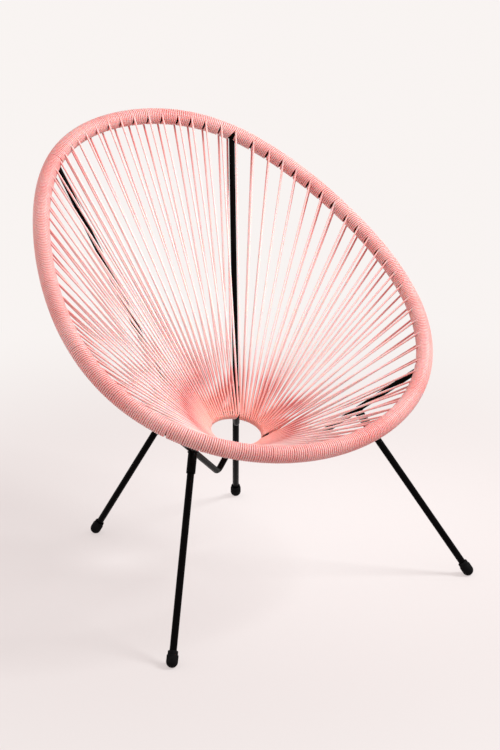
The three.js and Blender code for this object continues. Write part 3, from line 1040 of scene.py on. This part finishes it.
def floorFinish():
    finish = Finish("paleFloor")
    point = finish.node("ShaderNodeTexCoord", {}, {}, "Object")
    distance = finish.node("ShaderNodeVectorMath", {"operation": "LENGTH"}, {0: point}, "Value")
    fade = finish.spread(distance, studioValues["fadeFrom"], studioValues["fadeTo"])
    # a painted pool of light on the floor round the chair
    places = {0: point, 1: studioValues["poolMiddle"]}
    fromPool = finish.node("ShaderNodeVectorMath", {"operation": "DISTANCE"}, places, "Value")
    outside = finish.spread(fromPool, 0.0, studioValues["poolReach"])
    fill = finish.blended(outside, studioValues["paintedPoolLight"], studioValues["floorFill"])
    fill = finish.blended(finish.seen(), studioValues["hiddenFill"], fill)
    matt = finish.node("ShaderNodeBsdfPrincipled", {}, {
        "Base Color": studioValues["floorColour"],
        "Roughness": studioValues["floorRoughness"],
        "Specular IOR Level": studioValues["floorShine"],
        "Emission Color": fill,
        "Emission Strength": 1.0,
    })
    glow = finish.node("ShaderNodeEmission", {}, {"Color": studioValues["farColour"], "Strength": 1.0})
    mix = finish.node("ShaderNodeMixShader", {}, {0: fade, 1: matt, 2: glow})
    finish.node("ShaderNodeOutputMaterial", {}, {"Surface": mix})
    return finish.owner


bpy.ops.object.select_all(action="DESELECT")
bpy.ops.mesh.primitive_plane_add(size=studioValues["floorSize"])
floor = newPiece("floor")
floor.data.materials.append(floorFinish())

world = bpy.data.worlds.new("studio")
bpy.context.scene.world = world
room = Finish("studio", world)
light = {"Color": studioValues["world"], "Strength": studioValues["worldStrength"]}
lighting = room.node("ShaderNodeBackground", {}, light)
backdrop = room.node("ShaderNodeBackground", {}, {"Color": studioValues["farColour"]})
shown = room.node("ShaderNodeMixShader", {}, {0: room.seen(), 1: lighting, 2: backdrop})
room.node("ShaderNodeOutputWorld", {}, {"Surface": shown})

keyWay = studioValues["keyWay"].normalized()
keyPlace = studioValues["keyAim"] + keyWay * studioValues["keyDistance"]
bpy.ops.object.light_add(type="AREA", location=keyPlace)
key = bpy.context.object
key.name = "keyLight"
key.data.shape = "DISK"
key.data.size = studioValues["keySize"]
key.data.energy = studioValues["keyEnergy"]
key.data.color = studioValues["keyColour"]
key.rotation_mode = "QUATERNION"
key.rotation_quaternion = keyWay.to_track_quat("Z", "Y")

cameraValues = {
    "azimuth": math.radians(-32.1676),
    "elevation": math.radians(19.8556),
    "roll": math.radians(-1.0209),
    "distance": 3.8847036,
    "aside": 0.0258963,
    "height": 0.3985488,
    "back": -0.0333901,
    "lens": 96.0,
    "sensorHeight": 36.0,
}


def makeCamera():
    azimuth, elevation, roll = (cameraValues[name] for name in ("azimuth", "elevation", "roll"))
    back = Vector((
        math.sin(azimuth) * math.cos(elevation),
        -math.cos(azimuth) * math.cos(elevation),
        math.sin(elevation),
    ))
    level = Vector((math.cos(azimuth), math.sin(azimuth), 0))
    top = back.cross(level)
    right = level * math.cos(roll) + top * math.sin(roll)
    rolledUp = top * math.cos(roll) - level * math.sin(roll)
    place = level * cameraValues["aside"] + back * cameraValues["distance"]
    place += Vector((0, cameraValues["back"], cameraValues["height"]))
    data = bpy.data.cameras.new("camera")
    data.lens = cameraValues["lens"]
    data.sensor_fit = "VERTICAL"
    data.sensor_height = cameraValues["sensorHeight"]
    camera = linked("camera", data)
    camera.matrix_world = Matrix((
        (right.x, rolledUp.x, back.x, place.x),
        (right.y, rolledUp.y, back.y, place.y),
        (right.z, rolledUp.z, back.z, place.z),
        (0, 0, 0, 1),
    ))
    bpy.context.scene.camera = camera


makeCamera()
bpy.context.scene.view_settings.view_transform = "Standard"
print("lit the studio")
